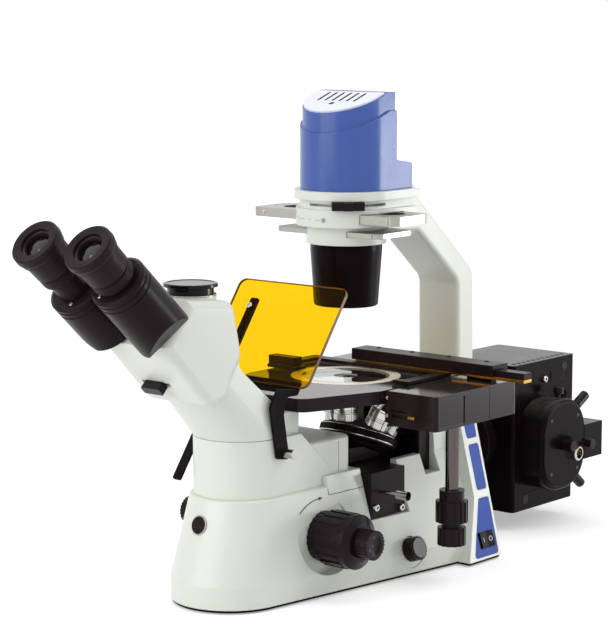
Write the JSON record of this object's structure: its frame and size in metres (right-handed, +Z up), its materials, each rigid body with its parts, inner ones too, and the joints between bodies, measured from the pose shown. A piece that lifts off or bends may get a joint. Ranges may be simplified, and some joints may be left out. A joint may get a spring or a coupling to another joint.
{
  "type": "inverted_microscope",
  "caption": "Inverted laboratory microscope with folding eyepieces, amber shield, mechanical stage, nosepiece below the stage, lamp arm above it and a rear lamp box",
  "frame": {"origin": "the point on the bench below the optical axis of the stage, level with the rubber feet", "axes": "+Z up along the optical axis, -Y towards the operator and the eyepieces, +X to the operator's right"},
  "size_m": [0.2956, 0.7542, 0.4788],
  "materials": {
    "white_paint": "satin",
    "black_paint": "satin",
    "black_sheet": "matte",
    "rubber": "matte",
    "black_plastic": "satin",
    "eyecup_black": "satin",
    "lens_glass": "polished",
    "amber_sheet": "polished",
    "stage_black": "satin",
    "white_ring": "satin",
    "dark_glass": "polished",
    "brass": "polished",
    "chrome": "polished",
    "aluminium": "satin",
    "blue_panel": "textured",
    "blue_plastic": "satin",
    "vent_white": "satin",
    "lamp_black": "textured"
  },
  "bodies": {
    "stand": {"base_casting": "white_paint", "bottom_plate": "black_sheet", "rubber_feet": "rubber", "neck_cover": "white_paint", "focus_guide": "white_paint", "light_tunnel": "black_paint", "observation_head": "white_paint", "shield_thumb_screws": "chrome", "stage_plate": "stage_black", "insert_ring": "white_ring", "insert_glass": "dark_glass", "drive_box": "black_paint", "xy_post": "chrome", "filter_box": "black_paint", "side_panels": "blue_panel", "lamp_arm": "white_paint", "lamp_collar": "white_paint", "lamp_cover": "blue_plastic", "lamp_vent": "vent_white", "led_module": "aluminium", "condenser": "black_paint", "condenser_lens": "lens_glass", "lamp_box": "lamp_black", "coupling_flange": "lamp_black", "turret_cover": "lamp_black", "connector_socket": "chrome", "centring_screws": "black_plastic"},
    "camera_cap": {"dust_cap": "black_plastic"},
    "light_path": {"light_path_lever": "black_plastic"},
    "left_eye": {"left_tube_housing": "black_paint", "left_eyepiece": "eyecup_black", "left_eye_lens": "lens_glass"},
    "right_eye": {"right_tube_housing": "black_paint", "right_eyepiece": "eyecup_black", "right_eye_lens": "lens_glass"},
    "diopter": {"diopter_ring": "black_paint"},
    "shield": {"shield_plate": "amber_sheet", "shield_bracket": "black_paint"},
    "y_carriage": {"guide_bar": "black_paint"},
    "x_carriage": {"x_rail": "black_paint", "x_rack": "brass", "specimen_holder": "black_paint"},
    "x_control": {"x_knob": "black_plastic"},
    "y_control": {"y_knob": "black_plastic"},
    "focus_slide": {"focus_carriage": "black_paint"},
    "nosepiece": {"nosepiece_turret": "black_paint", "objective_a": "chrome", "objective_b": "chrome", "objective_c": "chrome", "objective_d": "chrome"},
    "coarse_control": {"coarse_knobs": "black_plastic"},
    "fine_control": {"fine_knobs": "black_plastic"},
    "tension": {"tension_ring": "black_plastic"},
    "brightness": {"brightness_dial": "black_plastic"},
    "mains_switch": {"rocker_switch": "black_plastic"},
    "filter_slide": {"filter_rod": "chrome"},
    "iris": {"iris_lever": "black_plastic"},
    "phase_slide": {"upper_slider": "aluminium"},
    "diaphragm_slide": {"lower_slider": "aluminium"},
    "selector": {"turret_crank": "lamp_black"}
  },
  "joints": [
    {"name": "camera_cap_lift", "type": "slide", "parent": "stand", "child": "camera_cap", "axis": [0, 0, 1], "range_m": [0, 0.03]},
    {"name": "light_path_shift", "type": "slide", "parent": "stand", "child": "light_path", "axis": [1, 0, 0], "range_m": [-0.008, 0.008]},
    {"name": "right_eye_fold", "type": "hinge", "parent": "stand", "child": "right_eye", "pos_m": [0, -0.28488, 0.2874], "axis": [0, -0.7373, 0.6756], "range_deg": [-13, 24]},
    {"name": "left_eye_fold", "type": "hinge", "parent": "stand", "child": "left_eye", "pos_m": [0, -0.28488, 0.2874], "axis": [0, -0.7373, 0.6756], "range_deg": [-24, 13]},
    {"name": "diopter_turn", "type": "hinge", "parent": "left_eye", "child": "diopter", "pos_m": [-0.0325, -0.34396, 0.31618], "axis": [0, -0.7373, 0.6756], "range_deg": [-90, 90]},
    {"name": "shield_tilt", "type": "hinge", "parent": "stand", "child": "shield", "pos_m": [0, -0.1525, 0.146], "axis": [1, 0, 0], "range_deg": [0, 8]},
    {"name": "stage_y", "type": "slide", "parent": "stand", "child": "y_carriage", "axis": [0, 1, 0], "range_m": [-0.06, 0]},
    {"name": "stage_x", "type": "slide", "parent": "y_carriage", "child": "x_carriage", "axis": [1, 0, 0], "range_m": [-0.07, 0.03]},
    {"name": "x_knob_turn", "type": "hinge", "parent": "stand", "child": "x_control", "pos_m": [0.125, 0.011, 0], "axis": [0, 0, 1], "range_deg": [-721, 309.6]},
    {"name": "y_knob_turn", "type": "hinge", "parent": "stand", "child": "y_control", "pos_m": [0.125, 0.011, 0], "axis": [0, 0, 1], "range_deg": [-618.1, 1]},
    {"name": "focus_lift", "type": "slide", "parent": "stand", "child": "focus_slide", "axis": [0, 0, 1], "range_m": [-0.001, 0.007]},
    {"name": "nosepiece_turn", "type": "hinge", "parent": "focus_slide", "child": "nosepiece", "pos_m": [0, 0.02411, 0.14026], "axis": [0, 0.3746, 0.9272], "continuous": true},
    {"name": "coarse_turn", "type": "hinge", "parent": "stand", "child": "coarse_control", "pos_m": [0, -0.103, 0.058], "axis": [1, 0, 0], "range_deg": [-19, 127]},
    {"name": "fine_turn", "type": "hinge", "parent": "coarse_control", "child": "fine_control", "pos_m": [0, -0.103, 0.058], "axis": [1, 0, 0], "continuous": true},
    {"name": "tension_turn", "type": "hinge", "parent": "stand", "child": "tension", "pos_m": [0, -0.103, 0.058], "axis": [1, 0, 0], "range_deg": [-60, 60]},
    {"name": "brightness_turn", "type": "hinge", "parent": "stand", "child": "brightness", "pos_m": [0.08022, 0.005, 0.0275], "axis": [0.9451, 0, 0.3267], "range_deg": [0, 270]},
    {"name": "switch_rock", "type": "hinge", "parent": "stand", "child": "mains_switch", "pos_m": [0.09935, 0.106, 0.022], "axis": [-0.3091, 0, 0.951], "range_deg": [0, 10]},
    {"name": "filter_pull", "type": "slide", "parent": "stand", "child": "filter_slide", "axis": [1, 0, 0], "range_m": [-0.004, 0.025]},
    {"name": "iris_turn", "type": "hinge", "parent": "stand", "child": "iris", "pos_m": [0, 0, 0.3653], "axis": [0, 0, 1], "range_deg": [-28, 28]},
    {"name": "upper_slider_shift", "type": "slide", "parent": "stand", "child": "phase_slide", "axis": [1, 0, 0], "range_m": [-0.028, 0.028]},
    {"name": "lower_slider_shift", "type": "slide", "parent": "stand", "child": "diaphragm_slide", "axis": [1, 0, 0], "range_m": [-0.022, 0.022]},
    {"name": "selector_turn", "type": "hinge", "parent": "stand", "child": "selector", "pos_m": [0.08, 0.271, 0.093], "axis": [1, 0, 0], "range_deg": [0, 60]}
  ],
  "couplings": [
    {"joint": "left_eye_fold", "follows": "right_eye_fold", "ratio": -1},
    {"joint": "x_knob_turn", "follows": "stage_x", "rad_per_m": 179.52},
    {"joint": "y_knob_turn", "follows": "stage_y", "rad_per_m": 179.52},
    {"joint": "coarse_turn", "follows": "focus_lift", "rad_per_m": 314.16}
  ]
}
